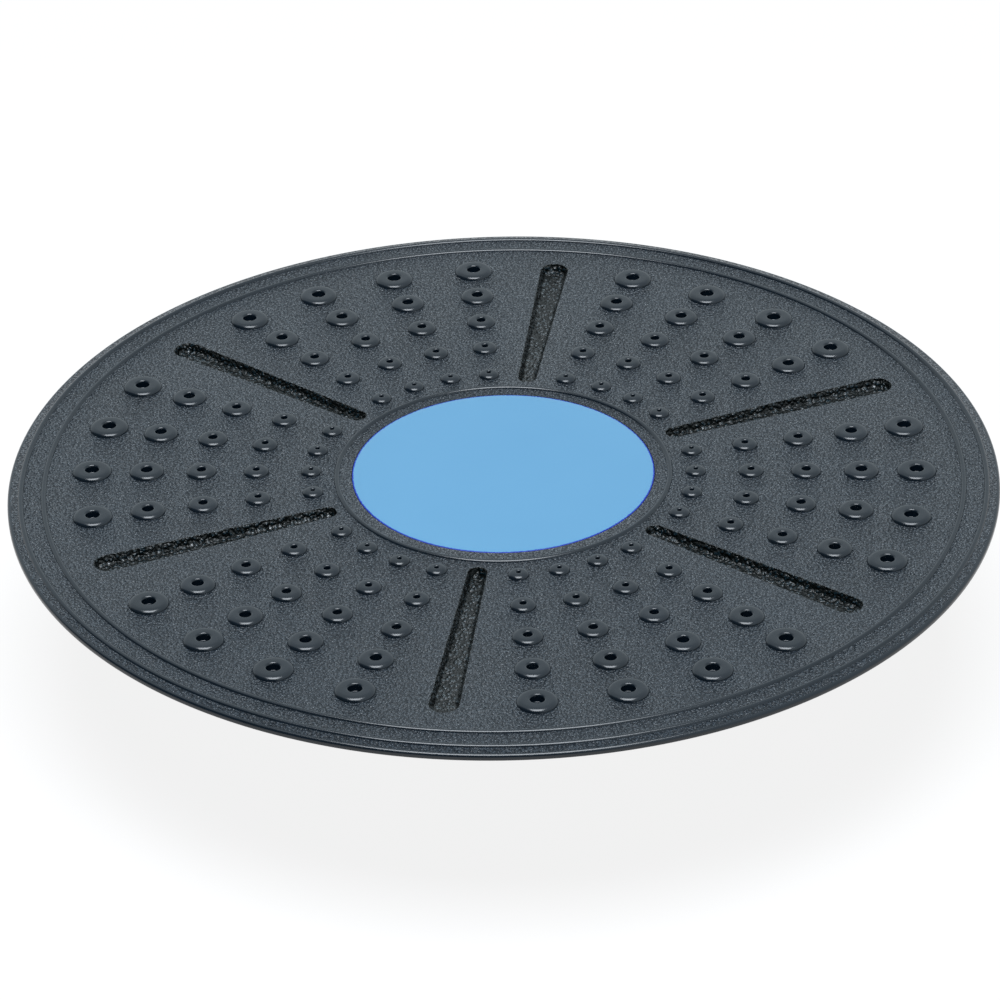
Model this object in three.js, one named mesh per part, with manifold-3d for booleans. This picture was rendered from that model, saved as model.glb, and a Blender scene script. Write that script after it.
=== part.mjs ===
// Sensory balance disc: a round moulded deck with raised dimples, on a domed foot.
// Millimetres, +Z up. The origin is on the floor, under the middle of the foot pad.

import * as THREE from 'three';
import { mergeGeometries, mergeVertices } from 'three/addons/utils/BufferGeometryUtils.js';
import Module from 'manifold-3d';

const wasm = await Module();
wasm.setup();

// Whole object
const discDiameter = 360;
const overallHeight = 80;
const sectorCount = 6;

// Running fit between two pieces, and how far a cut or a fused root passes the face it crosses
const seatGap = 0.3;
const overrun = 1;

// Deck plate, its sloping rim and its three thin beads
const deckWall = 3;
const rimDrop = 1.2;
const rimRounding = 0.7;
const rimFlatWidth = 8;
const beadWidth = 1.6;
const beadRise = 0.65;
const outerBeadInset = 5;
const innerBeadInset = 13.5;
const labelBeadGap = 5.6;

// Label, set flush with the deck face
const labelDiameter = 110;
const labelThickness = 0.8;

// Raised dimples: rings counted inwards from the rim, each smaller than the one outside it
const outerRingInset = 30;
const ringPitch = 20;
const dimplesPerSector = 4;
const outerDimpleDiameter = 14.5;
const dimpleDiameterStep = 1.7;
const dimpleRise = 1.5;
const dimpleShoulder = 1.2;
const outerHoleDiameter = 5.6;
const holeDiameterStep = 0.9;
const dimpleHoleDepth = 3;

// Tapered grooves between the sectors
const grooveInnerGap = 4.1;
const grooveOuterInset = 23.5;
const grooveInnerWidth = 7.2;
const grooveOuterWidth = 10.8;
const grooveDepth = 4.5;
const grooveFloorRounding = 1.8;

// Ribs under the deck
const ribThickness = 2.4;
const ribEndInset = 10;
const ribEndDepth = 5;
const outerRibRings = 2;
const innerRibRings = 3;
const hubRingRadius = 17;

// Foot: a ball-shaped shell with a screwed flange
const hubDepth = 12;
const domeRadius = 78;
const domeWall = 4;
const flangeThickness = 4;
const flangeWidth = 13;
const coreTubeRadius = 14;
const coreTubeWall = 2.5;
const domeRibThickness = 2.5;
const domeRingRibRadius = 44;

// Non-slip pad, pressed into the foot by its own stud
const padDiameter = 50;
const padThickness = 4;
const padProud = 1;
const padLipWidth = 1.5;
const padEdgeRounding = 0.6;
const padStudDiameter = 10;
const padBarbDiameter = 14;
const padBarbHeight = 3;
const padGripDepth = 1;
const padGripWidth = 2;
const padGripRings = 2;

// Pan-head screws that hold the foot's flange to the bosses under the deck
const screwDiameter = 4.2;
const screwLength = 12;
const screwTipLength = 2.5;
const screwHeadDiameter = 8.4;
const screwHeadHeight = 3;
const bossDiameter = 10;

// Facets of the round shapes
const rimSides = 48;
const ribFacet = 30;
const footSides = 48;
const padSides = 24;
const screwSides = 8;
const dimpleFacet = 7;
const fewestSides = 6;
const grooveEndSides = 3;
const grooveFloorSteps = 1;
const domeSteps = 6;
const domeInnerSteps = 4;
const ballSides = 24;
const tubeSides = 12;
const beadSteps = 2;
const weldDistance = 1e-4;

// Places worked out from the sizes above; heights in the deck are counted from its face
const discRadius = discDiameter / 2;
const deckFace = overallHeight - dimpleRise;
const labelBeadRadius = labelDiameter / 2 + labelBeadGap;
const ribEndRadius = discRadius - ribEndInset;
const flangeTop = deckFace - hubDepth;
const flangeBottom = flangeTop - flangeThickness;
const padSeatRadius = padDiameter / 2 + seatGap;
const domeMouthRadius = padSeatRadius + padLipWidth;
const domeCentre = padProud + Math.sqrt(domeRadius ** 2 - domeMouthRadius ** 2);
const domeTopRadius = Math.sqrt(domeRadius ** 2 - (domeCentre - flangeBottom) ** 2);
const flangeRadius = domeTopRadius + flangeWidth;
const collarRadius = flangeRadius + seatGap + ribThickness / 2;
const collarDepth = hubDepth + flangeThickness;
const innerRibDepth = hubDepth - seatGap;
const screwCircleRadius = domeTopRadius + flangeWidth / 2;
const screwHoleRadius = screwDiameter / 2 + seatGap;
const padCeiling = padThickness + seatGap;
const domeFloor = padCeiling + domeWall;

const upAxis = new THREE.Vector3(0, 0, 1);

const colours = {
  deck: { color: 0x454b53, roughness: 0.6, metalness: 0 },
  label: { color: 0x70afe0, roughness: 0.35, metalness: 0 },
  foot: { color: 0x3a3f46, roughness: 0.55, metalness: 0 },
  pad: { color: 0x1c1d1f, roughness: 0.9, metalness: 0 },
  screw: { color: 0xb9bcc0, roughness: 0.3, metalness: 1 },
};

// A geometry as a solid that can be joined and cut
function solidFrom(geometry) {
  const bare = new THREE.BufferGeometry();
  bare.setAttribute('position', geometry.getAttribute('position'));
  bare.setIndex(geometry.getIndex());
  const welded = mergeVertices(bare, weldDistance);
  const index = welded.getIndex();
  const triangles = [];
  for (let i = 0; i < index.count; i += 3) {
    const corners = [index.getX(i), index.getX(i + 1), index.getX(i + 2)];
    if (new Set(corners).size === corners.length) {
      triangles.push(...corners);
    }
  }
  return new wasm.Manifold(new wasm.Mesh({
    numProp: 3,
    vertProperties: Float32Array.from(welded.getAttribute('position').array),
    triVerts: Uint32Array.from(triangles),
  }));
}

// A joined or cut solid as a geometry again
function geometryFrom(solid) {
  const mesh = solid.getMesh();
  const geometry = new THREE.BufferGeometry();
  geometry.setAttribute('position', new THREE.BufferAttribute(mesh.vertProperties, mesh.numProp));
  geometry.setIndex(new THREE.BufferAttribute(mesh.triVerts, 1));
  return geometry;
}

function meshOf(name, geometry, look) {
  const mesh = new THREE.Mesh(geometry, new THREE.MeshStandardMaterial(look));
  mesh.name = name;
  return mesh;
}

// A round solid about Z. The outline's [radius, height] points run anticlockwise, radius to the right.
function turned(outline, sides) {
  const points = outline.map(([radius, height]) => new THREE.Vector2(radius, height));
  return new THREE.LatheGeometry(points, sides).rotateX(Math.PI / 2);
}

function turnedRod(radius, low, high, sides) {
  return turned([[0, low], [radius, low], [radius, high], [0, high]], sides);
}

function turnedRing(inner, outer, low, high, sides) {
  return turned([[inner, low], [outer, low], [outer, high], [inner, high], [inner, low]], sides);
}

// An upright plate along a radius: its side view is drawn as [radius, height] points
function radialPlate(sideView, thickness, angle) {
  const shape = new THREE.Shape(sideView.map(([radius, height]) => new THREE.Vector2(radius, height)));
  const plate = new THREE.ExtrudeGeometry(shape, { depth: thickness, bevelEnabled: false });
  return plate.translate(0, 0, -thickness / 2).rotateX(Math.PI / 2).rotateZ(angle);
}

function arcPoints(centreRadius, centreHeight, radius, from, to, steps) {
  const points = [];
  for (let i = 0; i <= steps; i++) {
    const angle = from + (to - from) * i / steps;
    points.push([centreRadius + radius * Math.cos(angle), centreHeight + radius * Math.sin(angle)]);
  }
  return points;
}

// Angles of a pattern that repeats all round
function anglesRound(count, offset = 0) {
  return Array.from({ length: count }, (_, i) => offset + i * 2 * Math.PI / count);
}

// The section of one thin bead on the deck face, from its outer foot to its inner foot
function beadSection(radius) {
  const halfWidth = beadWidth / 2;
  const points = [];
  for (let i = 0; i <= beadSteps; i++) {
    const angle = Math.PI * i / beadSteps;
    points.push([radius + halfWidth * Math.cos(angle), beadRise * Math.sin(angle)]);
  }
  return points;
}

function deckPlate() {
  const recessRadius = labelDiameter / 2 + seatGap;
  const recessFloor = -labelThickness - seatGap;
  const lip = arcPoints(
    discRadius - rimRounding, -rimDrop - rimRounding, rimRounding, -Math.PI / 2, Math.PI / 2, beadSteps);
  return turned([
    [0, -deckWall],
    [discRadius - rimFlatWidth, -deckWall],
    ...lip,
    ...beadSection(discRadius - outerBeadInset),
    ...beadSection(discRadius - innerBeadInset),
    ...beadSection(labelBeadRadius),
    [recessRadius, 0],
    [recessRadius, recessFloor],
    [0, recessFloor],
  ], rimSides);
}

// Rings of dimples, from the rim in to the bead round the label
function dimpleRings() {
  const outermost = discRadius - outerRingInset;
  const innermost = labelBeadRadius + beadWidth / 2 + grooveInnerGap;
  const rings = [];
  for (let i = 0; outermost - i * ringPitch > innermost; i++) {
    rings.push({
      at: outermost - i * ringPitch,
      radius: (outerDimpleDiameter - i * dimpleDiameterStep) / 2,
      holeRadius: (outerHoleDiameter - i * holeDiameterStep) / 2,
    });
  }
  return rings.filter((ring) => ring.holeRadius > 0 && ring.radius - dimpleShoulder > ring.holeRadius);
}

// Every dimple's place: four in a sector, with a groove in the fifth step
function dimplePlaces() {
  const step = 2 * Math.PI / (sectorCount * (dimplesPerSector + 1));
  const first = -step * (dimplesPerSector - 1) / 2;
  const places = [];
  for (const ring of dimpleRings()) {
    for (const middle of anglesRound(sectorCount)) {
      for (let i = 0; i < dimplesPerSector; i++) {
        places.push({ ...ring, angle: middle + first + i * step });
      }
    }
  }
  return places;
}

function putAt(geometry, place) {
  return geometry.translate(place.at, 0, 0).rotateZ(place.angle);
}

// Sides of a round shape whose facets are about as long as asked
function sidesFor(radius, facet) {
  return Math.max(fewestSides, Math.ceil(2 * Math.PI * radius / facet));
}

// One raised knob: a slanting shoulder, rooted in the plate, up to a flat top
function dimpleKnob(place) {
  const rootRadius = place.radius + overrun * dimpleShoulder / dimpleRise;
  const outline = [
    [0, -overrun],
    [rootRadius, -overrun],
    [place.radius - dimpleShoulder, dimpleRise],
    [0, dimpleRise],
  ];
  return putAt(turned(outline, sidesFor(place.radius, dimpleFacet)), place);
}

function dimpleHole(place) {
  const low = dimpleRise - dimpleHoleDepth;
  const sides = sidesFor(place.radius, dimpleFacet);
  return putAt(turnedRod(place.holeRadius, low, dimpleRise + overrun, sides), place);
}

// A bar with round ends that widens outwards; margin grows it all round. Its lower edges are rounded,
// and it keeps its full width up to the height high.
function grooveBar(margin, low, high, angle) {
  const innerRadius = grooveInnerWidth / 2;
  const outerRadius = grooveOuterWidth / 2;
  const innerX = labelBeadRadius + grooveInnerGap + innerRadius;
  const outerX = discRadius - grooveOuterInset - outerRadius;
  const lean = Math.PI / 2 + Math.asin((outerRadius - innerRadius) / (outerX - innerX));
  const shape = new THREE.Shape();
  shape.absarc(outerX, 0, outerRadius + margin, -lean, lean);
  shape.absarc(innerX, 0, innerRadius + margin, lean, 2 * Math.PI - lean);
  const bar = new THREE.ExtrudeGeometry(shape, {
    depth: high - low - grooveFloorRounding,
    bevelThickness: grooveFloorRounding,
    bevelSize: grooveFloorRounding,
    bevelOffset: -grooveFloorRounding,
    bevelSegments: grooveFloorSteps,
    curveSegments: grooveEndSides,
  });
  return bar.translate(0, 0, low + grooveFloorRounding).rotateZ(angle);
}

function grooveAngles() {
  return anglesRound(sectorCount, Math.PI / sectorCount);
}

// The deepest point of the ribs at a radius outside the collar
function ribDepthAt(radius) {
  const share = (radius - collarRadius) / (ribEndRadius - collarRadius);
  return collarDepth + (ribEndDepth - collarDepth) * share;
}

function ringRib(radius, depth, sides) {
  const half = ribThickness / 2;
  return turnedRing(radius - half, radius + half, -depth, -deckWall + overrun, sides);
}

// Concentric ribs: inside the collar they stop at the foot, outside they grow shallow to the rim
function ringRibs() {
  const ribs = [ringRib(collarRadius, collarDepth, footSides)];
  for (let i = 0; i < innerRibRings; i++) {
    const radius = hubRingRadius + (collarRadius - hubRingRadius) * i / innerRibRings;
    ribs.push(ringRib(radius, innerRibDepth, sidesFor(radius, ribFacet)));
  }
  for (let i = 1; i <= outerRibRings; i++) {
    const radius = collarRadius + (ribEndRadius - collarRadius) * i / (outerRibRings + 1);
    ribs.push(ringRib(radius, ribDepthAt(radius), sidesFor(radius, ribFacet)));
  }
  return ribs;
}

function spoke(angle) {
  return radialPlate([
    [hubRingRadius, -deckWall + overrun],
    [hubRingRadius, -innerRibDepth],
    [collarRadius, -innerRibDepth],
    [collarRadius, -collarDepth],
    [ribEndRadius, -ribEndDepth],
    [ribEndRadius, -deckWall + overrun],
  ], ribThickness, angle);
}

function screwBoss(angle) {
  const boss = turnedRod(bossDiameter / 2, -innerRibDepth, -deckWall + overrun, screwSides);
  return putAt(boss, { at: screwCircleRadius, angle });
}

function screwPilotHole(angle) {
  const hole = turnedRod(screwHoleRadius, -innerRibDepth - overrun, -deckWall, screwSides);
  return putAt(hole, { at: screwCircleRadius, angle });
}

function deck() {
  let body = solidFrom(deckPlate());
  for (const rib of ringRibs()) {
    body = body.add(solidFrom(rib));
  }
  for (const angle of anglesRound(sectorCount)) {
    body = body.add(solidFrom(spoke(angle)));
  }
  for (const angle of grooveAngles()) {
    body = body.add(solidFrom(grooveBar(deckWall, -grooveDepth - deckWall, -deckWall, angle)));
  }
  for (const angle of anglesRound(sectorCount)) {
    body = body.add(solidFrom(screwBoss(angle)));
    body = body.subtract(solidFrom(screwPilotHole(angle)));
  }
  for (const angle of grooveAngles()) {
    body = body.subtract(solidFrom(grooveBar(0, -grooveDepth, overrun, angle)));
  }
  const places = dimplePlaces();
  body = body.add(solidFrom(mergeGeometries(places.map(dimpleKnob))));
  body = body.subtract(solidFrom(mergeGeometries(places.map(dimpleHole))));
  return geometryFrom(body);
}

function labelDisc() {
  const radius = labelDiameter / 2;
  return turned([
    [0, -labelThickness],
    [radius, -labelThickness],
    [radius, 0],
    [0, 0],
  ], rimSides);
}

// The ball-shaped shell with its flange and the seat for the pad
function domeShell() {
  const innerRadius = domeRadius - domeWall;
  const angleAt = (height, radius) => Math.asin((height - domeCentre) / radius);
  const mouth = angleAt(padProud, domeRadius);
  const outer = arcPoints(0, domeCentre, domeRadius, mouth, angleAt(flangeBottom, domeRadius), domeSteps);
  const brim = angleAt(flangeTop, innerRadius);
  const inner = arcPoints(0, domeCentre, innerRadius, brim, angleAt(domeFloor, innerRadius), domeInnerSteps);
  const studHoleRadius = padStudDiameter / 2 + seatGap;
  return turned([
    [studHoleRadius, padCeiling],
    [padSeatRadius, padCeiling],
    [padSeatRadius, padProud],
    ...outer,
    [flangeRadius, flangeBottom],
    [flangeRadius, flangeTop],
    ...inner,
    [studHoleRadius, domeFloor],
    [studHoleRadius, padCeiling],
  ], footSides);
}

// Stiffening inside the foot: a core tube, a ring and spokes, all trimmed to the ball
function domeRibs() {
  const root = domeFloor - overrun;
  const ball = solidFrom(new THREE.SphereGeometry(domeRadius - domeWall / 2, ballSides, ballSides / 2)
    .rotateX(Math.PI / 2).translate(0, 0, domeCentre));
  const tube = turnedRing(coreTubeRadius - coreTubeWall, coreTubeRadius, root, flangeTop, tubeSides);
  const half = domeRibThickness / 2;
  const ring = turnedRing(domeRingRibRadius - half, domeRingRibRadius + half, 0, flangeTop, ballSides);
  const halfTube = coreTubeRadius - coreTubeWall / 2;
  const sideView = [[halfTube, root], [domeRadius, root], [domeRadius, flangeTop], [halfTube, flangeTop]];
  let ribs = solidFrom(tube).add(solidFrom(ring));
  for (const angle of anglesRound(sectorCount, Math.PI / sectorCount)) {
    ribs = ribs.add(solidFrom(radialPlate(sideView, domeRibThickness, angle)));
  }
  return ribs.intersect(ball);
}

function footDome() {
  let body = solidFrom(domeShell()).add(domeRibs());
  for (const angle of anglesRound(sectorCount)) {
    const hole = turnedRod(screwHoleRadius, flangeBottom - overrun, flangeTop + overrun, screwSides);
    body = body.subtract(solidFrom(putAt(hole, { at: screwCircleRadius, angle })));
  }
  return geometryFrom(body);
}

// The pad: a tread with grip rings below, and a stud with a barb that snaps through the foot
function footPad() {
  const radius = padDiameter / 2;
  const studRadius = padStudDiameter / 2;
  const barbLow = domeFloor + seatGap;
  const gripStep = radius / (padGripRings + 1);
  const tread = [];
  for (let i = 1; i <= padGripRings; i++) {
    const middle = i * gripStep;
    tread.push([middle - padGripWidth / 2, 0], [middle - padGripWidth / 2, padGripDepth]);
    tread.push([middle + padGripWidth / 2, padGripDepth], [middle + padGripWidth / 2, 0]);
  }
  return turned([
    [0, 0],
    ...tread,
    [radius - padEdgeRounding, 0],
    [radius, padEdgeRounding],
    [radius, padThickness],
    [studRadius, padThickness],
    [studRadius, barbLow],
    [padBarbDiameter / 2, barbLow],
    [studRadius, barbLow + padBarbHeight],
    [0, barbLow + padBarbHeight],
  ], padSides);
}

// One screw, upright, with the face under its head at height zero
function footScrew() {
  const radius = screwDiameter / 2;
  const headRadius = screwHeadDiameter / 2;
  return turned([
    [0, -screwHeadHeight],
    [headRadius / 2, -screwHeadHeight],
    [headRadius, -screwHeadHeight / 2],
    [headRadius, 0],
    [radius, 0],
    [radius, screwLength - screwTipLength],
    [0, screwLength],
  ], screwSides);
}

const balanceDisc = new THREE.Group();

const deckGroup = new THREE.Group();
deckGroup.position.z = deckFace;
deckGroup.add(meshOf('deck', deck(), colours.deck));
deckGroup.add(meshOf('label_disc', labelDisc(), colours.label));
balanceDisc.add(deckGroup);

const footGroup = new THREE.Group();
footGroup.add(meshOf('foot_dome', footDome(), colours.foot));
footGroup.add(meshOf('foot_pad', footPad(), colours.pad));
balanceDisc.add(footGroup);

anglesRound(sectorCount).forEach((angle, i) => {
  const screw = meshOf(`foot_screw_${i + 1}`, footScrew(), colours.screw);
  screw.position.set(screwCircleRadius, 0, flangeBottom - seatGap).applyAxisAngle(upAxis, angle);
  footGroup.add(screw);
});

export default balanceDisc;
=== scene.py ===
"""Looks of the sensory balance disc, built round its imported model. Lengths are in metres."""

import math

import bmesh
import bpy
from mathutils import Matrix, Vector, noise
from mathutils.geometry import delaunay_2d_cdt


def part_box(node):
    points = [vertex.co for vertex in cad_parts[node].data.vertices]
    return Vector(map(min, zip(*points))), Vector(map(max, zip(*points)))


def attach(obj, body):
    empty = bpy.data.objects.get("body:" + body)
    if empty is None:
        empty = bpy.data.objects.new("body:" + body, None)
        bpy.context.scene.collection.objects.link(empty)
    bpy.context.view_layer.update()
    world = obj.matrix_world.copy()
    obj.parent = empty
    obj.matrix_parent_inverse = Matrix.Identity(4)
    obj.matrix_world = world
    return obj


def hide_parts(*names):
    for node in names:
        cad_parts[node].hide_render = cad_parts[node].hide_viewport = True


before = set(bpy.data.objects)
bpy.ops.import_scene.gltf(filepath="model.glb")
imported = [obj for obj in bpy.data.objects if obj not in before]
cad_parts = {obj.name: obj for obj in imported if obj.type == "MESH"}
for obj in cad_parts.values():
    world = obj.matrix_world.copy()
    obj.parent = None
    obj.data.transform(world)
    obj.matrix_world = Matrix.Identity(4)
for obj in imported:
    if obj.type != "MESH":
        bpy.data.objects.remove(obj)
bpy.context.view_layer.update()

mm = 0.001

# Places taken from the frame
deck_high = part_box("deck")[1]
label_low, label_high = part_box("label_disc")
dome_low, dome_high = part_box("foot_dome")
pad_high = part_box("foot_pad")[1]
disc_radius = deck_high.x
deck_face = label_high.z
label_radius = label_high.x

# Deck plate, its rim and its beads; heights on the deck are counted from its face
sector_count = 6
deck_wall = 3 * mm
rim_drop = 0.6 * mm
rim_rounding = 1.2 * mm
rim_low_rounding = 0.6 * mm
rim_flat_width = 8 * mm
bead_width = 2.1 * mm
bead_rise = 0.72 * mm
outer_bead_radius = disc_radius - 4.8 * mm
inner_bead_radius = disc_radius - 13.1 * mm
label_bead_radius = label_radius + 5.6 * mm
label_gap = 0.12 * mm
label_edge_rounding = 0.2 * mm
label_ring_shares = (0.95, 0.7, 0.4, 0.1)

# Raised dimples, ring by ring from the rim inwards
dimples_per_sector = 4
outer_ring_radius = disc_radius - 30 * mm
ring_pitch = 20 * mm
ring_count = 5
dimple_rise = deck_high.z - deck_face
outer_dimple_radius = 7.25 * mm
dimple_radius_step = 0.85 * mm
outer_hole_radius = 2.8 * mm
hole_radius_step = 0.45 * mm
hole_depth = 3 * mm
dimple_draft = 0.05 * mm
dimple_shoulder_width = 2.2 * mm
dimple_shoulder_drop = 1.35 * mm
dimple_shoulder_end = 87
dimple_crown = 0.05 * mm
hole_edge_rounding = 0.5 * mm
hole_edge_share = 0.12
hole_floor_rounding = 0.3 * mm

# Grooves between the sectors
groove_inner_gap = 4.1 * mm
groove_outer_inset = 23.5 * mm
groove_inner_width = 7.2 * mm
groove_outer_width = 10.8 * mm
groove_floor_depth = 3 * mm
groove_edge_rounding = 0.3 * mm
groove_floor_rounding = 1.2 * mm
groove_draft = 0.8 * mm
groove_crumple = 0.2 * mm
coarse_crumple_size = 2.2 * mm
fine_crumple_size = 1.1 * mm
fine_crumple_share = 0.6
crumple_seed = 1

# Ribs, ridges and bosses under the deck; depths are counted from its face
rib_thickness = 2.4 * mm
rib_draft = 0.25 * mm
rib_tip_rounding = 0.6 * mm
rib_end_radius = disc_radius - 10 * mm
rib_end_depth = 5 * mm
outer_rib_rings = 2
inner_rib_rings = 3
hub_ring_radius = 17 * mm
ridge_inner_depth = 4.5 * mm
boss_radius = 5 * mm
pilot_radius = 2.4 * mm
under_edge_rounding = 0.8 * mm

# Foot: a ball-shaped shell with a screwed flange
seat_gap = 0.3 * mm
dome_radius = 78 * mm
dome_wall = 4 * mm
flange_top = dome_high.z
flange_thickness = 4 * mm
flange_radius = dome_high.x
flange_rounding = 0.9 * mm
flange_fillet = 1.5 * mm
flange_fillet_start = 165
mouth_rounding = 0.4 * mm
mouth_clear_angle = 0.3
core_tube_radius = 14 * mm
core_tube_wall = 2.5 * mm
dome_rib_thickness = 2.5 * mm
dome_ring_radius = 44 * mm

# Non-slip pad under the foot
pad_radius = pad_high.x
pad_thickness = 4 * mm
pad_lip_width = 1.5 * mm
pad_edge_rounding = 0.6 * mm
pad_grip_depth = 1 * mm
pad_grip_width = 2 * mm
pad_grip_rings = 2
pad_grip_rounding = 0.3 * mm
stud_radius = 5 * mm
barb_radius = 7 * mm
barb_height = 3 * mm
barb_lead_angle = 45

# Pan-head screws
screw_radius = 2.1 * mm
screw_length = 12 * mm
screw_tip_length = 2.5 * mm
head_radius = 4.2 * mm
head_height = 3 * mm
head_rounding = 1.4 * mm
head_side_share = 1.2
head_side_start = -75
head_crown_share = 0.06
head_ring_shares = (0.15, 0.4, 0.6)
thread_pitch = 1.6 * mm
thread_depth = 0.5 * mm
screw_point_share = 0.02
recess_radius = 2.3 * mm
recess_width = 1 * mm
recess_depth = 1.9 * mm
recess_mouth_share = 1.15
recess_floor_share = 0.55

# Places worked out from the sizes above
flange_bottom = flange_top - flange_thickness
hub_depth = deck_face - flange_top
collar_radius = flange_radius + seat_gap + rib_thickness / 2
collar_depth = hub_depth + flange_thickness
inner_rib_depth = hub_depth - seat_gap
rib_root_depth = deck_wall * 0.75
slab_top_depth = deck_wall / 2
pad_seat_radius = pad_radius + seat_gap
mouth_radius = pad_seat_radius + pad_lip_width
dome_centre = dome_low.z + math.sqrt(dome_radius ** 2 - mouth_radius ** 2)
dome_top_radius = math.sqrt(dome_radius ** 2 - (dome_centre - flange_bottom) ** 2)
screw_circle_radius = (dome_top_radius + flange_radius) / 2
pad_ceiling = pad_thickness + seat_gap
dome_floor = pad_ceiling + dome_wall
dome_rib_low = dome_floor - dome_wall / 4
middle_of_wall = dome_radius - dome_wall / 2
stud_hole_radius = stud_radius + seat_gap

# Studio: one softbox overhead, a white backdrop and a dimmer side behind the camera
floor_radius = 30
floor_shade = 0.55
seen_floor_shade = 0.15
floor_glow = 0.87
lamp_place = (0.03, -0.55, 2.35)
lamp_width = 1.5
lamp_depth = 1.4
lamp_power = 71
lamp_colour = (0.88, 0.94, 1)
mirrored_colour = (0.83, 0.94, 1, 1)
world_fill = 0.12
dim_side = 0.06
backdrop_slant = 0.8
backdrop_from = -0.65
backdrop_full = -0.3

# How finely the round shapes are divided
round_sides = 288
small_sides = 48
tube_sides = 96
rounding_steps = 4
seat_rounding_steps = 2
label_rounding_steps = 3
ball_steps = 40
screw_sides = 24
thread_steps = 8
dimple_sides = 32
shoulder_steps = 9
hole_floor_steps = 4
bead_steps = 8
groove_spacing = 0.6 * mm
groove_corner_steps = 7
crease_angle = math.radians(40)
weld_distance = 0.0001 * mm
same_point_distance = 1e-9
floor_sides = 64


# Photograph's viewpoint

def photo_camera():
    azimuth = math.radians(8.294)
    elevation = math.radians(31.747)
    roll = math.radians(-1.279)
    distance = 1.7794
    aside = 1.14 * mm
    upward = 11.57 * mm
    focal_length = 176.21
    film_width = 36
    nearest = 0.1
    farthest = 100
    back = Vector((math.sin(azimuth) * math.cos(elevation), -math.cos(azimuth) * math.cos(elevation),
                   math.sin(elevation)))
    right = Vector((math.cos(azimuth), math.sin(azimuth), 0))
    up = back.cross(right)
    turned_right = right * math.cos(roll) + up * math.sin(roll)
    turned_up = up * math.cos(roll) - right * math.sin(roll)
    place = Vector((0, 0, deck_high.z)) + back * distance - turned_right * aside - turned_up * upward
    turn = Matrix((turned_right, turned_up, back)).transposed()
    camera = bpy.data.objects.new("photo_camera", bpy.data.cameras.new("photo_camera"))
    camera.matrix_world = Matrix.Translation(place) @ turn.to_4x4()
    camera.data.sensor_width = film_width
    camera.data.lens = focal_length
    camera.data.clip_start = nearest
    camera.data.clip_end = farthest
    bpy.context.scene.collection.objects.link(camera)
    bpy.context.scene.camera = camera


# Shader maths

class Wire:
    """An output of a material's nodes. Sums and products of wires add their own nodes."""

    def __init__(self, tree, socket=None):
        self.tree = tree
        self.socket = socket

    def node(self, kind, settings=None, inputs=None, output=0):
        """Another node: its settings first, then values or wires for its inputs."""
        made = self.tree.nodes.new(kind)
        for name, value in (settings or {}).items():
            setattr(made, name, value)
        for name, value in (inputs or {}).items():
            if isinstance(value, Wire):
                self.tree.links.new(value.socket, made.inputs[name])
            else:
                made.inputs[name].default_value = value
        return Wire(self.tree, made.outputs[output] if made.outputs else None)

    def maths(self, operation, *values):
        return self.node("ShaderNodeMath", {"operation": operation}, dict(enumerate(values)))

    def __add__(self, other):
        return self.maths("ADD", self, other)

    __radd__ = __add__

    def __sub__(self, other):
        return self.maths("SUBTRACT", self, other)

    def __rsub__(self, other):
        return self.maths("SUBTRACT", other, self)

    def __mul__(self, other):
        return self.maths("MULTIPLY", self, other)

    def ramp(self, low, high):
        """This wire as 0 at low, 1 at high and straight between."""
        return self.node("ShaderNodeMapRange", {"clamp": True},
                         {"Value": self, "From Min": low, "From Max": high})

    def mixed(self, first, second):
        """Colour first where this wire is 0, second where it is 1."""
        return self.node("ShaderNodeMix", {"data_type": "RGBA"},
                         {"Factor": self, 6: first, 7: second}, output=2)


def linear(red, green, blue):
    """A colour written as it shows on a screen, 0 to 255, as light."""
    shares = [value / 255 for value in (red, green, blue)]
    light = [share / 12.92 if share <= 0.04045 else ((share + 0.055) / 1.055) ** 2.4 for share in shares]
    return (*light, 1)


def grey(value):
    return (value, value, value, 1)


def new_material(name):
    """A material with an empty sheet of nodes, and a wire to draw on it."""
    material = bpy.data.materials.new(name)
    material.use_nodes = True
    material.node_tree.nodes.clear()
    return material, Wire(material.node_tree)


def surface(material, sheet, constants, **varying):
    """Ends a material in one shader: constants on its sockets, wires for what varies."""
    inputs = dict(constants)
    inputs.update({name.replace("_", " ").title(): wire for name, wire in varying.items()})
    shader = sheet.node("ShaderNodeBsdfPrincipled", None, inputs)
    sheet.node("ShaderNodeOutputMaterial", None, {"Surface": shader})
    return material


def place_of(sheet):
    return sheet.node("ShaderNodeTexCoord", output="Object")


def speckle(sheet, size, detail, roughness=0.5):
    """Soft noise with patches about as wide as size."""
    return sheet.node("ShaderNodeTexNoise", None, {
        "Vector": place_of(sheet), "Scale": 1 / size, "Detail": detail, "Roughness": roughness})


def pebbles(sheet, size):
    """Rounded grain: high in the middle of each pebble, low in the creases round it."""
    return 1 - sheet.node("ShaderNodeTexVoronoi", {"feature": "SMOOTH_F1"}, {
        "Vector": place_of(sheet), "Scale": 1 / size, "Smoothness": 0.1})


def bumped(sheet, height, depth):
    return sheet.node("ShaderNodeBump", None, {"Height": height, "Strength": 1, "Distance": depth})


# Materials

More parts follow.
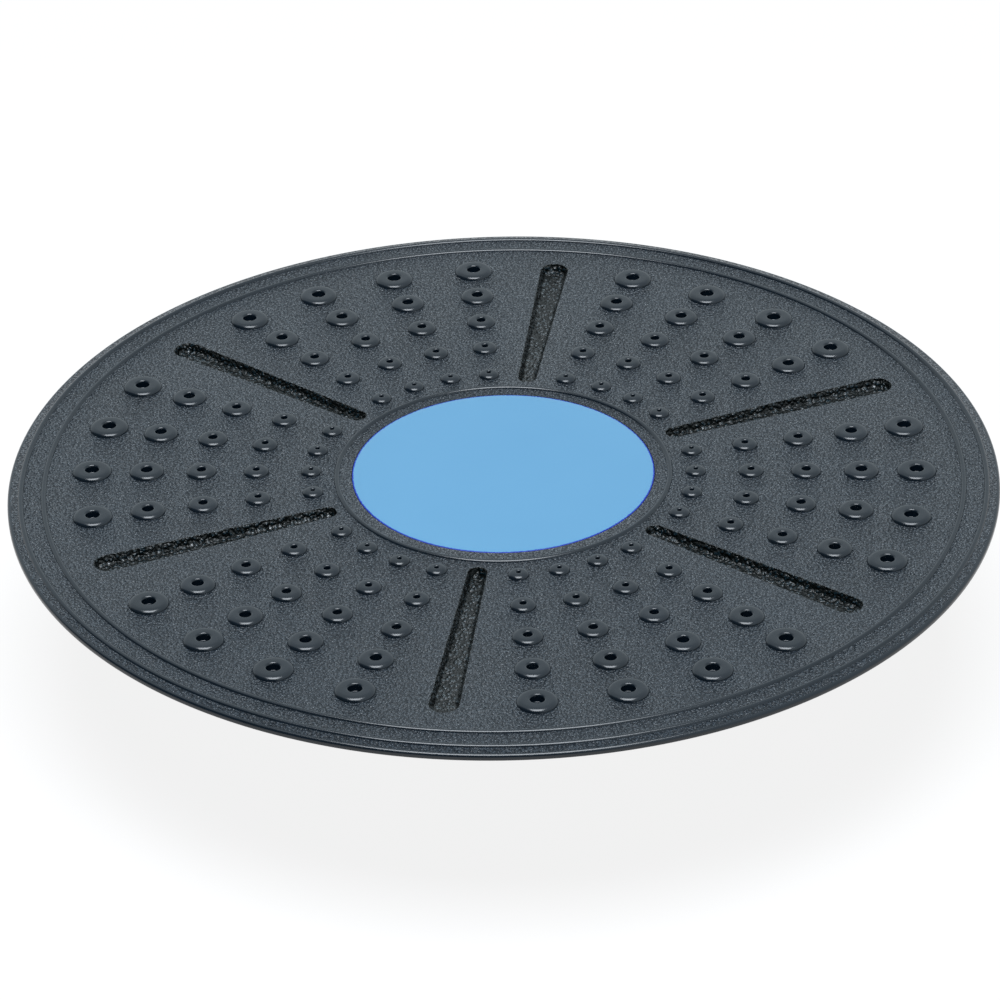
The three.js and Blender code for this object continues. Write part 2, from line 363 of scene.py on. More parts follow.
def grained_plastic():
    """Moulded charcoal plastic with a fine pebbled leather grain: the tops shine, the creases don't. The
    creases get painted shade in the base colour, and a coat only on the pebble tops paints a sheen that the
    creases lack.
    """
    material, sheet = new_material("deck_grained")
    grain = pebbles(sheet, 1 * mm) + speckle(sheet, 0.6 * mm, 1) * 0.6
    patches = speckle(sheet, 30 * mm, 3)
    # Painted light: this mask follows the grain's height. Its low end darkens the base colour in the creases
    # as painted shade, and its high end puts the coat, a painted sheen, on the pebble tops.
    tops_lit_creases_shaded = grain.ramp(0.72, 1.14)
    # The base colour mixes that painted crease shade with the plastic's own random patches of tone.
    shade = tops_lit_creases_shaded * 0.7 + patches * 0.3
    return surface(
        material, sheet, {"Specular IOR Level": 0.35, "Coat Roughness": 0.2},
        base_color=shade.mixed(linear(24, 29, 34), linear(34, 50, 64)),
        roughness=0.32 - tops_lit_creases_shaded * 0.14,
        coat_weight=tops_lit_creases_shaded,
        normal=bumped(sheet, grain, 0.9 * mm))


def smooth_plastic():
    """The same plastic where the mould is polished: dimples and beads."""
    material, sheet = new_material("deck_smooth")
    patches = speckle(sheet, 14 * mm, 4)
    haze = speckle(sheet, 0.8 * mm, 3)
    return surface(
        material, sheet, {"Specular IOR Level": 0.5},
        base_color=patches.mixed(linear(4, 16, 24), linear(8, 22, 34)),
        roughness=0.19 + haze * 0.07,
        normal=bumped(sheet, haze, 0.01 * mm))


def crumpled_plastic():
    """The same plastic in the grooves, with a coarse crumpled grain full of glints. Its pits get painted
    shade in the base colour, and a coat only on the high lumps paints part of the glints.
    """
    material, sheet = new_material("groove_crumpled")
    lumps = pebbles(sheet, 1.3 * mm) + speckle(sheet, 1 * mm, 2) * 0.7
    # Painted light: this mask follows the crumple's height. Its low end turns the base colour near black in
    # the pits as painted shade, and its high end puts the coat, a painted sheen, on the high lumps.
    lumps_lit_pits_shaded = lumps.ramp(0.92, 1.15)
    return surface(
        material, sheet, {"Specular IOR Level": 0.35, "Coat Roughness": 0.1},
        base_color=lumps_lit_pits_shaded.mixed(linear(2, 6, 6), linear(14, 38, 48)),
        roughness=0.3 - lumps_lit_pits_shaded * 0.2,
        coat_weight=lumps_lit_pits_shaded,
        normal=bumped(sheet, lumps, 0.7 * mm))


def label_film():
    """Light blue printed film, bare, with a thin ragged dark blue edge."""
    material, sheet = new_material("label_film")
    line_start = label_radius - 0.55 * mm
    line_full = label_radius - 0.4 * mm
    raggedness = 0.8 * mm
    place = place_of(sheet)
    flat_place = sheet.node("ShaderNodeVectorMath", {"operation": "MULTIPLY"}, {0: place, 1: (1, 1, 0)})
    from_middle = sheet.node("ShaderNodeVectorMath", {"operation": "LENGTH"}, {0: flat_place}, output="Value")
    ragged = speckle(sheet, 0.9 * mm, 3, 0.7)
    edge = (from_middle + (ragged - 0.5) * raggedness).ramp(line_start, line_full)
    patches = speckle(sheet, 45 * mm, 2)
    print_colour = patches.mixed(linear(93, 154, 194), linear(100, 161, 200))
    ripple = speckle(sheet, 6 * mm, 2) + speckle(sheet, 0.7 * mm, 2) * 0.12
    return surface(
        material, sheet, {"Specular IOR Level": 0.5},
        base_color=edge.mixed(print_colour, linear(20, 52, 168)),
        roughness=0.3 + edge * 0.2,
        normal=bumped(sheet, ripple, 0.02 * mm))


def foot_plastic():
    """Charcoal plastic of the foot, satin with a faint flow pattern."""
    material, sheet = new_material("foot_satin")
    patches = speckle(sheet, 22 * mm, 4)
    grain = speckle(sheet, 0.35 * mm, 3)
    return surface(
        material, sheet, {"Specular IOR Level": 0.5},
        base_color=patches.mixed(linear(34, 38, 43), linear(46, 51, 57)),
        roughness=0.38 + patches * 0.08,
        normal=bumped(sheet, grain, 0.02 * mm))


def pad_rubber():
    """Soft black rubber of the non-slip pad, dusty on its high spots."""
    material, sheet = new_material("pad_rubber")
    dust = speckle(sheet, 3 * mm, 5, 0.6)
    grain = speckle(sheet, 0.25 * mm, 3)
    return surface(
        material, sheet, {"Specular IOR Level": 0.35},
        base_color=dust.ramp(0.45, 0.8).mixed(linear(24, 25, 27), linear(46, 46, 48)),
        roughness=0.75 + dust * 0.15,
        normal=bumped(sheet, grain, 0.03 * mm))


def screw_steel():
    """Zinc plated steel, slightly yellowed and scuffed."""
    material, sheet = new_material("screw_zinc")
    stain = speckle(sheet, 2 * mm, 4)
    scuff = speckle(sheet, 0.3 * mm, 3, 0.7)
    return surface(
        material, sheet, {"Metallic": 1},
        base_color=stain.mixed(linear(196, 199, 203), linear(176, 174, 168)),
        roughness=0.24 + scuff * 0.2,
        normal=bumped(sheet, scuff, 0.008 * mm))


# Mesh building

class Skin:
    """Points and faces of one piece, gathered loop by loop."""

    def __init__(self):
        self.points = []
        self.faces = []
        self.finishes = []

    def loop(self, points):
        first = len(self.points)
        self.points.extend(points)
        return list(range(first, len(self.points)))

    def band(self, low, high, finish=0):
        """Joins two closed loops that have as many points as each other."""
        count = len(low)
        for i in range(count):
            after = (i + 1) % count
            self.faces.append((low[i], low[after], high[after], high[i]))
            self.finishes.append(finish)

    def bands(self, loops, finish=0):
        for low, high in zip(loops, loops[1:]):
            self.band(low, high, finish)

    def cap(self, loop, finish=0):
        """Closes a loop with a fan round a point in its middle."""
        middle = sum((Vector(self.points[i]) for i in loop), Vector()) / len(loop)
        centre = self.loop([tuple(middle)])[0]
        for i, point in enumerate(loop):
            self.faces.append((point, loop[(i + 1) % len(loop)], centre))
            self.finishes.append(finish)

    def sheet(self, outer, holes):
        """Fills a level face from its outer loop to its round or slotted holes."""
        loops = [outer, *holes]
        index = [i for loop in loops for i in loop]
        owner = [number for number, loop in enumerate(loops) for _ in loop]
        edges = []
        start = 0
        for loop in loops:
            count = len(loop)
            edges.extend((start + i, start + (i + 1) % count) for i in range(count))
            start += count
        flat = [Vector(self.points[i][:2]) for i in index]
        _, _, faces, origins, _, _ = delaunay_2d_cdt(flat, edges, [], 0, same_point_distance)
        source = [first[0] for first in origins]
        for face in faces:
            corners = [source[i] for i in face]
            owners = {owner[i] for i in corners}
            if owners == {0} or len(owners) > 1:
                self.faces.append(tuple(index[i] for i in corners))
                self.finishes.append(0)

    def build(self, name, materials):
        """The piece as an object, with outward faces and creases where its finish or its slope breaks."""
        mesh = bpy.data.meshes.new(name)
        mesh.from_pydata([tuple(point) for point in self.points], [], self.faces)
        for material in materials:
            mesh.materials.append(material)
        mesh.polygons.foreach_set("material_index", self.finishes)
        piece = bpy.data.objects.new(name, mesh)
        bpy.context.scene.collection.objects.link(piece)
        tidy_up(piece, [mesh])
        return piece


def tidy_up(piece, meshes, unwanted=None):
    """Joins meshes into the piece's own, without doubled points or the faces that unwanted picks out."""
    tidy = bmesh.new()
    for mesh in meshes:
        tidy.from_mesh(mesh)
    if unwanted:
        bmesh.ops.delete(tidy, geom=[face for face in tidy.faces if unwanted(face)], context="FACES")
    bmesh.ops.remove_doubles(tidy, verts=tidy.verts, dist=weld_distance)
    bmesh.ops.dissolve_degenerate(tidy, edges=tidy.edges, dist=weld_distance)
    bmesh.ops.recalc_face_normals(tidy, faces=tidy.faces)
    crease(tidy)
    tidy.to_mesh(piece.data)
    tidy.free()


def crease(tidy):
    """Smooth faces, with sharp edges where the slope or the finish breaks."""
    for face in tidy.faces:
        face.smooth = True
    for edge in tidy.edges:
        sides = edge.link_faces
        if len(sides) == 2:
            steep = sides[0].normal.angle(sides[1].normal, 0) > crease_angle
            edge.smooth = not steep and sides[0].material_index == sides[1].material_index


def combined(body, operation, tools):
    """Joins the tools to the body, or cuts it with them; the tools are used up."""
    for tool in tools:
        step = body.modifiers.new(tool.name, "BOOLEAN")
        step.operation = operation
        step.solver = "MANIFOLD"
        step.object = tool
    evaluated = body.evaluated_get(bpy.context.evaluated_depsgraph_get())
    body.data = bpy.data.meshes.new_from_object(evaluated)
    body.modifiers.clear()
    for tool in tools:
        bpy.data.objects.remove(tool)
    tidy_up(body, [body.data])
    return body


def circle(radius, height, sides, centre=(0, 0)):
    return [(centre[0] + radius * math.cos(2 * math.pi * i / sides),
             centre[1] + radius * math.sin(2 * math.pi * i / sides), height) for i in range(sides)]


def arc(centre_radius, centre_height, radius, start, end, steps):
    """Points (radius, height) along an arc of a turned outline; angles in degrees."""
    points = []
    for i in range(steps + 1):
        angle = math.radians(start + (end - start) * i / steps)
        points.append((centre_radius + radius * math.cos(angle), centre_height + radius * math.sin(angle)))
    return points


def turned(skin, outline, sides=round_sides, centre=(0, 0), base=0):
    """Loops of a turned outline of (radius, height) points."""
    return [skin.loop(circle(radius, base + height, sides, centre)) for radius, height in outline]


def turned_solid(name, outline, materials, sides=round_sides, centre=(0, 0), finish=0):
    """A closed round solid: its outline starts and ends with a cap."""
    skin = Skin()
    loops = turned(skin, outline, sides, centre)
    skin.bands(loops, finish)
    skin.cap(loops[0], finish)
    skin.cap(loops[-1], finish)
    return skin.build(name, materials)


def turned_ring(name, outline, materials, sides=round_sides, finish=0):
    """A closed ring: the end of its outline joins the start."""
    skin = Skin()
    loops = turned(skin, outline, sides)
    skin.bands([*loops, loops[0]], finish)
    return skin.build(name, materials)


def put_at(radius, angle):
    return radius * math.cos(angle), radius * math.sin(angle)


def angles_round(count, offset=0):
    return [offset + 2 * math.pi * i / count for i in range(count)]


# Deck, whose finishes are numbered after its materials: grained first, then these

SMOOTH = 1
CRUMPLED = 2
SATIN = 3


def dimple_places():
    """Centre, radius and hole radius of every dimple: four in a sector, a groove in the fifth step."""
    step = 2 * math.pi / (sector_count * (dimples_per_sector + 1))
    places = []
    for ring in range(ring_count):
        at = outer_ring_radius - ring * ring_pitch
        radius = outer_dimple_radius - ring * dimple_radius_step
        hole = outer_hole_radius - ring * hole_radius_step
        for middle in angles_round(sector_count):
            for i in range(dimples_per_sector):
                angle = middle + (i - (dimples_per_sector - 1) / 2) * step
                places.append((put_at(at, angle), radius, hole))
    return places


def dimple_outline(radius, hole):
    """From the foot of one dimple, over its round shoulder and flat top, down into its blind hole."""
    top_radius = radius - dimple_draft - dimple_shoulder_width
    shoulder_low = dimple_rise - dimple_crown - dimple_shoulder_drop
    edge = hole_edge_rounding + hole * hole_edge_share
    bore = hole - edge / 2
    corner = hole_floor_rounding
    floor = dimple_rise - hole_depth
    outline = [(radius, 0)]
    outline += [(top_radius + across * dimple_shoulder_width, shoulder_low + up * dimple_shoulder_drop)
                for across, up in arc(0, 0, 1, 0, dimple_shoulder_end, shoulder_steps)]
    outline += arc(bore + edge, dimple_rise - edge, edge, 90, 180, shoulder_steps)
    outline += arc(bore - corner, floor + corner, corner, 0, -90, hole_floor_steps)
    return outline


def raise_dimple(skin, centre, radius, hole):
    """Adds one dimple and returns the loop at its foot."""
    loops = turned(skin, dimple_outline(radius, hole), dimple_sides, centre)
    skin.bands(loops, SMOOTH)
    skin.cap(loops[-1], SMOOTH)
    return loops[0]


def groove_loop(inset, depth, angle):
    """One level line round a groove, drawn in from its edge by inset: two sides and two round ends."""
    inner_radius = groove_inner_width / 2
    outer_radius = groove_outer_width / 2
    inner_x = label_bead_radius + groove_inner_gap + inner_radius
    outer_x = disc_radius - groove_outer_inset - outer_radius
    length = outer_x - inner_x
    widening = outer_radius - inner_radius
    lean = math.pi / 2 + math.asin(widening / length)
    inner_steps = round(2 * (math.pi - lean) * inner_radius / groove_spacing)
    outer_steps = round(2 * lean * outer_radius / groove_spacing)
    side_steps = round(length / groove_spacing)
    places = []
    for i in range(outer_steps + 1):
        places.append((outer_x, outer_radius, -lean + 2 * lean * i / outer_steps))
    for i in range(1, side_steps):
        share = i / side_steps
        places.append((outer_x - length * share, outer_radius - widening * share, lean))
    for i in range(inner_steps + 1):
        places.append((inner_x, inner_radius, lean + 2 * (math.pi - lean) * i / inner_steps))
    for i in range(1, side_steps):
        share = i / side_steps
        places.append((inner_x + length * share, inner_radius + widening * share, -lean))
    turn_by = Matrix.Rotation(angle, 3, "Z")
    points = []
    for x, radius, turn in places:
        left = max(radius - inset, 0)
        point = Vector((x + left * math.cos(turn), left * math.sin(turn), -depth))
        points.append(tuple(turn_by @ point))
    return points


def groove_outline():
    """How far the wall is drawn in at each depth, from the deck face over the rounded edge to the floor."""
    edge = groove_edge_rounding
    corner = groove_floor_rounding
    low = groove_floor_depth - corner
    outline = [(inset, edge - rise) for inset, rise in arc(0, 0, edge, 90, 0, rounding_steps)]
    outline += [(edge + groove_draft + corner - inset, low + drop) for inset, drop in
                arc(0, 0, corner, 0, 90, groove_corner_steps)]
    inset = outline[-1][0]
    while inset < groove_outer_width / 2:
        inset += groove_spacing
        outline.append((min(inset, groove_outer_width / 2), groove_floor_depth))
    return outline


def sink_groove(skin, angle):
    """Adds one groove, crumpled below its edge, and returns the loop along its edge."""
    loops = [skin.loop(groove_loop(inset, depth, angle)) for inset, depth in groove_outline()]
    skin.bands(loops, CRUMPLED)
    return loops[0]


def crumple(point):
    """A point of a groove's wall or floor, moved by coarse noise that fades out at the groove's edge."""
    depth = -point[2]
    fade = min(1, depth / (2 * groove_edge_rounding))
    moved = Vector(point)
    coarse = noise.noise_vector(moved / coarse_crumple_size)
    fine = noise.noise_vector(moved / fine_crumple_size)
    return moved + (coarse + fine * fine_crumple_share) * groove_crumple * fade


def bead(radius):
    """Section of one bead, a flat arch, drawn towards the middle."""
    half = bead_width / 2
    arch = (half ** 2 + bead_rise ** 2) / (2 * bead_rise)
    spread = math.degrees(math.asin(half / arch))
    return arc(radius, bead_rise - arch, arch, 90 - spread, 90 + spread, bead_steps)


def deck_top(skin):
    """The upper side of the deck, from the lip of its rim to the seat of the label."""
    low = rim_low_rounding
    high = rim_rounding
    lip = arc(disc_radius - low, low - deck_wall, low, -90, 0, rounding_steps)
    lip += arc(disc_radius - high, -rim_drop - high, high, 0, 90, bead_steps)
    underside = turned(skin, [(disc_radius - rim_flat_width, -deck_wall)])[0]
    edge = turned(skin, lip)
    skin.band(underside, edge[0], SATIN)
    skin.bands(edge, SMOOTH)
    outer = turned(skin, bead(outer_bead_radius))
    skin.band(edge[-1], outer[0])
    skin.bands(outer, SMOOTH)
    inner = turned(skin, bead(inner_bead_radius))
    skin.band(outer[-1], inner[0])
    skin.bands(inner, SMOOTH)
    middle = turned(skin, bead(label_bead_radius))
    skin.bands(middle, SMOOTH)
    feet = [raise_dimple(skin, *place) for place in dimple_places()]
    groove_start = len(skin.points)
    mouths = [sink_groove(skin, angle) for angle in angles_round(sector_count, math.pi / sector_count)]
    noise.seed_set(crumple_seed)
    for i in range(groove_start, len(skin.points)):
        if skin.points[i][2] < 0:
            skin.points[i] = tuple(crumple(skin.points[i]))
    skin.sheet(inner[-1], [middle[0], *feet, *mouths])
    seat_radius = label_radius + label_gap
    seat_floor = label_low.z - deck_face - label_gap
    rounding = label_edge_rounding
    seat = turned(skin, [
        *arc(seat_radius + rounding, -rounding, rounding, 90, 180, seat_rounding_steps),
        (seat_radius, seat_floor)])
    skin.band(middle[-1], seat[0])
    skin.bands(seat)
    skin.cap(seat[-1])


def rib_section(middle, depth):
    """Points (across, height) of one rib's section: drafted sides and a rounded tip."""
    half = rib_thickness / 2
    tip = half - rib_draft - rib_tip_rounding
    height = -depth + rib_tip_rounding
    left = arc(middle - tip, height, rib_tip_rounding, 180, 270, rounding_steps)
    right = arc(middle + tip, height, rib_tip_rounding, 270, 360, rounding_steps)
    return [(middle - half, -rib_root_depth), *left, *right, (middle + half, -rib_root_depth)]


def rib_depth_at(radius):
    """How deep the ribs outside the collar reach: shallower towards the rim."""
    share = (radius - collar_radius) / (rib_end_radius - collar_radius)
    return collar_depth + (rib_end_depth - collar_depth) * share


def ring_ribs(materials):
    places = [(collar_radius, collar_depth)]
    for i in range(inner_rib_rings):
        radius = hub_ring_radius + (collar_radius - hub_ring_radius) * i / inner_rib_rings
        places.append((radius, inner_rib_depth))
    for i in range(1, outer_rib_rings + 1):
        radius = collar_radius + (rib_end_radius - collar_radius) * i / (outer_rib_rings + 1)
        places.append((radius, rib_depth_at(radius)))
    return [turned_ring("ring_rib", rib_section(*place), materials, finish=SATIN) for place in places]


def spoke(angle, materials):
    """One straight rib from the hub to the rim, with its step down at the collar."""
    inside = collar_radius - rib_thickness / 4
    outside = collar_radius + rib_thickness / 4
    stations = [(hub_ring_radius, inner_rib_depth), (inside, inner_rib_depth), (outside, collar_depth),
                (rib_end_radius, rib_end_depth)]
    turn_by = Matrix.Rotation(angle, 3, "Z")
    skin = Skin()
    loops = []
    for radius, depth in stations:
        section = [turn_by @ Vector((radius, across, height)) for across, height in rib_section(0, depth)]
        loops.append(skin.loop([tuple(point) for point in section]))
    skin.bands(loops, SATIN)
    skin.cap(loops[0], SATIN)
    skin.cap(loops[-1], SATIN)
    return skin.build("spoke", materials)


def groove_ridge(angle, materials):
    """The underside of one groove, a wall's thickness outside it."""
    low = ridge_inner_depth + deck_wall
    rounding = under_edge_rounding
    levels = [(0, rib_root_depth)]
    levels += [(rounding - inset, low - rounding + drop) for inset, drop in
               arc(0, 0, rounding, 0, 90, rounding_steps)]
    skin = Skin()
    loops = [skin.loop(groove_loop(inset - deck_wall, depth, angle)) for inset, depth in levels]
    skin.bands(loops, SATIN)
    skin.cap(loops[0], SATIN)
    skin.cap(loops[-1], SATIN)
    return skin.build("groove_ridge", materials)


def screw_boss(angle, materials):
    edge = under_edge_rounding
    outline = [(boss_radius, -rib_root_depth)]
    outline += arc(boss_radius - edge, edge - inner_rib_depth, edge, 0, -90, rounding_steps)
    return turned_solid("screw_boss", outline, materials, small_sides, put_at(screw_circle_radius, angle),
                        finish=SATIN)


def pilot_hole(angle, materials):
    chamfer = under_edge_rounding / 2
    outline = [(pilot_radius, -deck_wall), (pilot_radius, chamfer - inner_rib_depth),
               (pilot_radius + 2 * chamfer, -chamfer - inner_rib_depth)]
    return turned_solid("pilot_hole", outline, materials, small_sides, put_at(screw_circle_radius, angle),
                        finish=SATIN)


def deck_underside(materials):
    """The ribbed lower side, as a closed slab that is later opened along the deck's own edge."""
    radius = disc_radius - rim_flat_width
    slab = turned_solid("deck_underside", [(radius, -deck_wall), (radius, -slab_top_depth)], materials,
                        finish=SATIN)
    straight = angles_round(sector_count)
    added = ring_ribs(materials)
    added += [spoke(angle, materials) for angle in straight]
    added += [groove_ridge(angle, materials) for angle in angles_round(sector_count, math.pi / sector_count)]
    added += [screw_boss(angle, materials) for angle in straight]
    combined(slab, "UNION", added)
    return combined(slab, "DIFFERENCE", [pilot_hole(angle, materials) for angle in straight])


def above_underside(face):
    """Faces of the slab that the deck's upper side takes the place of."""
    heights = [point.co.z for point in face.verts]
    none_below = min(heights) > -deck_wall - weld_distance
    some_above = max(heights) > -deck_wall + weld_distance
    return face.material_index == SATIN and none_below and some_above


def moulded_deck(materials):
    skin = Skin()
    deck_top(skin)
    deck = skin.build("moulded_deck", materials)
    underside = deck_underside(materials)
    tidy_up(deck, [deck.data, underside.data], above_underside)
    bpy.data.objects.remove(underside)
    deck.data.transform(Matrix.Translation((0, 0, deck_face)))
    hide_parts("deck")
    return deck


# Label

def label_disc(material):
    skin = Skin()
    thickness = label_high.z - label_low.z
    rounding = label_edge_rounding
    outline = [(label_radius - rounding, -thickness), (label_radius, -thickness + rounding)]
    outline += arc(label_radius - rounding, -rounding, rounding, 0, 90, label_rounding_steps)
    outline += [(label_radius * share, 0) for share in label_ring_shares]
    loops = turned(skin, outline, base=deck_face)
    skin.bands(loops)
    skin.cap(loops[0])
    skin.cap(loops[-1])
    label = skin.build("label_film", [material])
    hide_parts("label_disc")
    return label


# Foot

def ball_point_height(radius, ball_radius):
    """Height of a ball's lower half at a radius from its axis."""
    return dome_centre - math.sqrt(ball_radius ** 2 - radius ** 2)


def ball_angle(height, ball_radius):
    return math.degrees(math.asin((height - dome_centre) / ball_radius))


def dome_shell(materials):
    """The ball-shaped wall, its flange and the seat of the pad, as one turned ring."""
    inner_radius = dome_radius - dome_wall
    mouth = mouth_rounding
    edge = flange_rounding
    fillet = flange_fillet
    outline = [(stud_hole_radius, pad_ceiling), (pad_seat_radius, pad_ceiling)]
    outline += arc(pad_seat_radius + mouth, dome_low.z + mouth, mouth, 180, 270, rounding_steps)
    outline += arc(0, dome_centre, dome_radius, ball_angle(dome_low.z, dome_radius) + mouth_clear_angle,
                   ball_angle(flange_bottom - fillet, dome_radius), ball_steps)
    reach = math.sqrt(dome_radius ** 2 - (dome_centre - flange_bottom + fillet) ** 2)
    outline += arc(reach + fillet, flange_bottom - fillet, fillet, flange_fillet_start, 90, rounding_steps)
    outline += arc(flange_radius - edge, flange_bottom + edge, edge, -90, 0, rounding_steps)
    outline += arc(flange_radius - edge, flange_top - edge, edge, 0, 90, rounding_steps)
    outline += arc(0, dome_centre, inner_radius, ball_angle(flange_top, inner_radius),
                   ball_angle(dome_floor, inner_radius), ball_steps)
    outline += [(stud_hole_radius, dome_floor)]
    return turned_ring("foot_shell", outline, materials)


def core_tube(materials):
    outer = core_tube_radius
    inner = outer - core_tube_wall
    outline = [(inner, dome_rib_low), (outer, dome_rib_low), (outer, flange_top), (inner, flange_top)]
    return turned_ring("core_tube", outline, materials, tube_sides)


def ring_wall(materials):
    inner = dome_ring_radius - dome_rib_thickness / 2
    outer = dome_ring_radius + dome_rib_thickness / 2
    outline = [(radius, ball_point_height(radius, middle_of_wall)) for radius in (inner, outer)]
    outline += [(outer, flange_top), (inner, flange_top)]
    return turned_ring("ring_wall", outline, materials)


def dome_spoke(angle, materials):
    """One upright plate from the core tube out into the ball's wall."""
    start = core_tube_radius - core_tube_wall / 2
    side_view = [(start, dome_rib_low)]
    side_view += arc(0, dome_centre, middle_of_wall, ball_angle(dome_rib_low, middle_of_wall),
                     ball_angle(flange_top, middle_of_wall), ball_steps)
    side_view += [(start, flange_top)]
    turn_by = Matrix.Rotation(angle, 3, "Z")
    skin = Skin()
    loops = []
    for across in (-dome_rib_thickness / 2, dome_rib_thickness / 2):
        side = [turn_by @ Vector((radius, across, height)) for radius, height in side_view]
        loops.append(skin.loop([tuple(point) for point in side]))
    skin.bands(loops)
    skin.cap(loops[0])
    skin.cap(loops[1])
    return skin.build("dome_spoke", materials)


def flange_hole(angle, materials):
    chamfer = flange_rounding / 3
    wide = pilot_radius + 2 * chamfer
    outline = [(wide, flange_bottom - chamfer), (pilot_radius, flange_bottom + chamfer),
               (pilot_radius, flange_top - chamfer), (wide, flange_top + chamfer)]
    return turned_solid("flange_hole", outline, materials, small_sides, put_at(screw_circle_radius, angle))


def foot_dome(material):
    materials = [material]
    dome = dome_shell(materials)
    added = [core_tube(materials), ring_wall(materials)]
    added += [dome_spoke(angle, materials) for angle in angles_round(sector_count, math.pi / sector_count)]
    combined(dome, "UNION", added)
    combined(dome, "DIFFERENCE", [flange_hole(angle, materials) for angle in angles_round(sector_count)])
    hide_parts("foot_dome")
    return dome


def grip_ring(middle):
    """One ring groove in the tread, from its inner edge to its outer edge."""
    half = pad_grip_width / 2
    edge = pad_grip_rounding
    inner = arc(middle - half - edge, edge, edge, -90, 0, rounding_steps)
    inner += arc(middle - half + edge, pad_grip_depth - edge, edge, 180, 90, rounding_steps)
    outer = [(2 * middle - radius, height) for radius, height in reversed(inner)]
    return inner + outer


def foot_pad(material):
    grip_step = pad_radius / (pad_grip_rings + 1)
    rounding = pad_edge_rounding
    barb_low = dome_floor + seat_gap
    outline = [(grip_step / 2, 0)]
    for i in range(1, pad_grip_rings + 1):
        outline += grip_ring(i * grip_step)
    outline += arc(pad_radius - rounding, rounding, rounding, -90, 0, rounding_steps)
    outline += arc(pad_radius - rounding, pad_thickness - rounding, rounding, 0, 90, rounding_steps)
    outline += [(stud_radius, pad_thickness), (stud_radius, barb_low)]
    outline += arc(barb_radius - rounding / 2, barb_low + rounding / 2, rounding / 2, -90, barb_lead_angle,
                   rounding_steps)
    outline += [(stud_radius, barb_low + barb_height)]
    pad = turned_solid("foot_pad_rubber", outline, [material])
    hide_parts("foot_pad")
    return pad


def thread_loops(skin):
    """Rings round the shank, whose radius swells along the helix of the thread."""
    loops = []
    count = round(screw_length / thread_pitch * thread_steps)
    for i in range(count + 1):
        height = screw_length * i / count
        left = min(1, (screw_length - height) / screw_tip_length)
        points = []
        for j in range(screw_sides):
            turn = j / screw_sides
            phase = (height / thread_pitch - turn) % 1
            crest = 1 - abs(2 * phase - 1)
            radius = (screw_radius - thread_depth + thread_depth * crest) * max(left, screw_point_share)
            points.append((*put_at(radius, 2 * math.pi * turn), height))
        loops.append(skin.loop(points))
    return loops


def cross_recess(angle, materials):
    """One bar of the recess in the head, tapered towards its floor."""
    skin = Skin()
    turn_by = Matrix.Rotation(angle, 3, "Z")
    half = recess_width / 2
    corners = [(-recess_radius, -half), (recess_radius, -half), (recess_radius, half), (-recess_radius, half)]
    mouth = (-head_height - recess_depth / 4, recess_mouth_share)
    bottom = (-head_height + recess_depth, recess_floor_share)
    loops = []
    for height, share in (mouth, bottom):
        loops.append(skin.loop([tuple(turn_by @ Vector((x * share, y, height))) for x, y in corners]))
    skin.bands(loops)
    skin.cap(loops[0])
    skin.cap(loops[1])
    return skin.build("cross_recess", materials)


def foot_screw(node, material):
    """A screw with its thread upright in the flange and its head below."""
    skin = Skin()
    edge = head_rounding
    crown = [(head_radius * share, -head_height * (1 - head_crown_share * share ** 2))
             for share in head_ring_shares]
    side = arc(head_radius - edge, -head_height + edge * head_side_share, edge, head_side_start, 0,
               rounding_steps * 2)
    loops = turned(skin, [*crown, *side, (head_radius, 0), (screw_radius, 0)], screw_sides)
    loops += thread_loops(skin)
    skin.bands(loops)
    skin.cap(loops[0])
    skin.cap(loops[-1])
    screw = skin.build(node + "_zinc", [material])
    combined(screw, "DIFFERENCE", [cross_recess(angle, [material]) for angle in (0, math.pi / 2)])
    low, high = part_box(node)
    middle = (low + high) / 2
    screw.data.transform(Matrix.Translation((middle.x, middle.y, flange_bottom - seat_gap)))
    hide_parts(node)
    return screw


# Light and floor

def rays_seen_and_mirrored(sheet):
    """Two wires: 1 on what the camera sees, and 1 on what a glossy or clear surface shows."""
    seen = sheet.node("ShaderNodeLightPath", output="Is Camera Ray")
    glossy = sheet.node("ShaderNodeLightPath", output="Is Glossy Ray")
    through = sheet.node("ShaderNodeLightPath", output="Is Transmission Ray")
    return seen, sheet.maths("MAXIMUM", glossy, through)


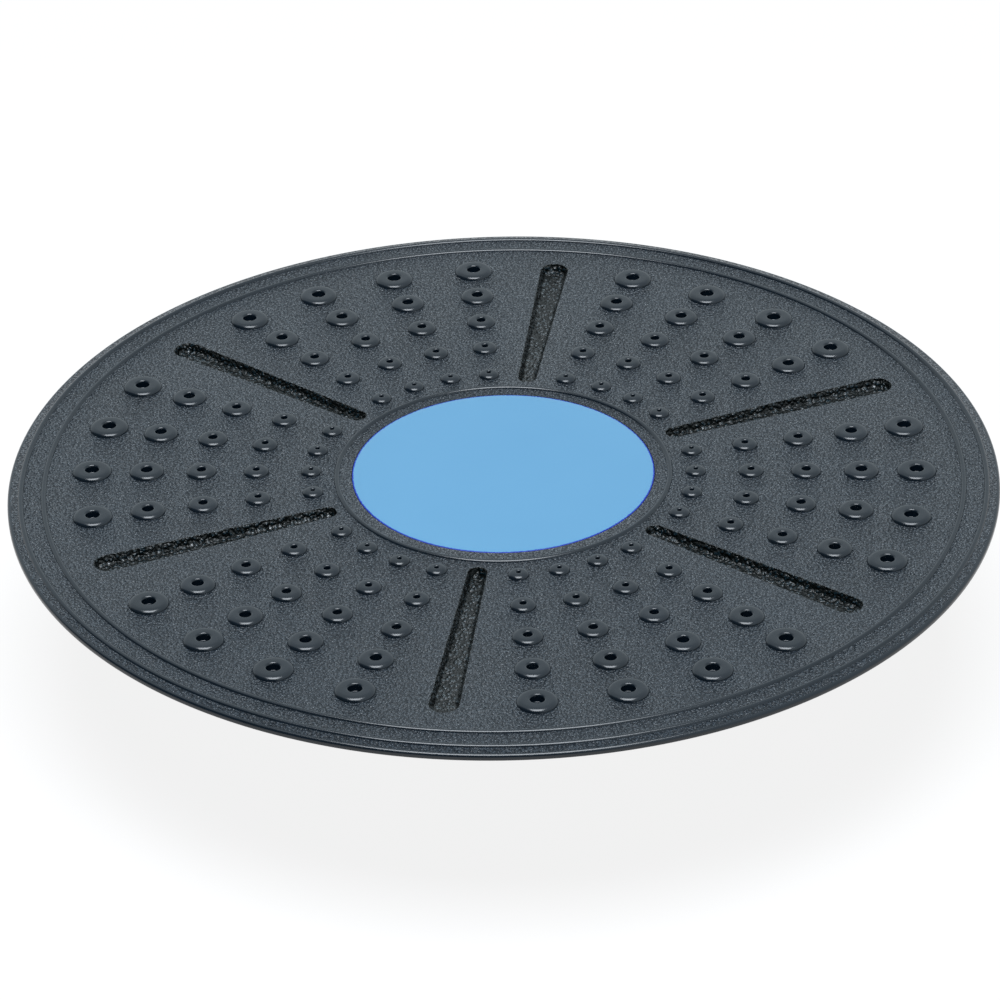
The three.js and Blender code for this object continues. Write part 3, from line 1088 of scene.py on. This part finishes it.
def floor():
    """A pale floor that the camera and mirrors see nearly white, with its shadow."""
    material, sheet = new_material("pale_floor")
    shown = sheet.maths("MAXIMUM", *rays_seen_and_mirrored(sheet))
    surface(material, sheet, {"Specular IOR Level": 0, "Roughness": 1, "Emission Strength": 1},
            base_color=shown.mixed(grey(floor_shade), grey(seen_floor_shade)),
            emission_color=shown.mixed(grey(0), grey(floor_glow)))
    skin = Skin()
    skin.cap(skin.loop(circle(floor_radius, 0, floor_sides)))
    ground = skin.build("studio_floor", [material])
    return ground


def studio_surround():
    """A white surround for the camera, slanting to dark in mirrors, and a faint fill for the rest."""
    world = bpy.data.worlds.new("studio")
    bpy.context.scene.world = world
    world.use_nodes = True
    world.node_tree.nodes.clear()
    sheet = Wire(world.node_tree)
    seen, mirrored = rays_seen_and_mirrored(sheet)
    direction = sheet.node("ShaderNodeTexCoord", output="Generated")
    rightwards = sheet.node("ShaderNodeSeparateXYZ", None, {0: direction}, output="X")
    backwards = sheet.node("ShaderNodeSeparateXYZ", None, {0: direction}, output="Y")
    backdrop = (backwards + rightwards * backdrop_slant).ramp(backdrop_from, backdrop_full)
    mirrored_strength = mirrored * (dim_side + backdrop * (1 - dim_side))
    strength = sheet.maths("MAXIMUM", sheet.maths("MAXIMUM", seen, mirrored_strength), world_fill)
    colour = seen.mixed(mirrored_colour, grey(1))
    background = sheet.node("ShaderNodeBackground", None, {"Color": colour, "Strength": strength})
    sheet.node("ShaderNodeOutputWorld", None, {"Surface": background})


def softbox():
    lamp = bpy.data.lights.new("overhead_softbox", "AREA")
    lamp.shape = "RECTANGLE"
    lamp.size = lamp_width
    lamp.size_y = lamp_depth
    lamp.energy = lamp_power
    lamp.color = lamp_colour
    place = Vector(lamp_place)
    box = bpy.data.objects.new("overhead_softbox", lamp)
    box.matrix_world = Matrix.Translation(place) @ place.to_track_quat("Z", "Y").to_matrix().to_4x4()
    bpy.context.scene.collection.objects.link(box)


# Scene, with every piece riding on the object's one body

photo_camera()
studio_surround()
softbox()
floor()

satin = foot_plastic()
zinc = screw_steel()
pieces = [
    moulded_deck([grained_plastic(), smooth_plastic(), crumpled_plastic(), satin]),
    label_disc(label_film()),
    foot_dome(satin),
    foot_pad(pad_rubber()),
    *[foot_screw(f"foot_screw_{i + 1}", zinc) for i in range(sector_count)],
]
for piece in pieces:
    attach(piece, "root")

bpy.context.scene.view_settings.view_transform = "Standard"
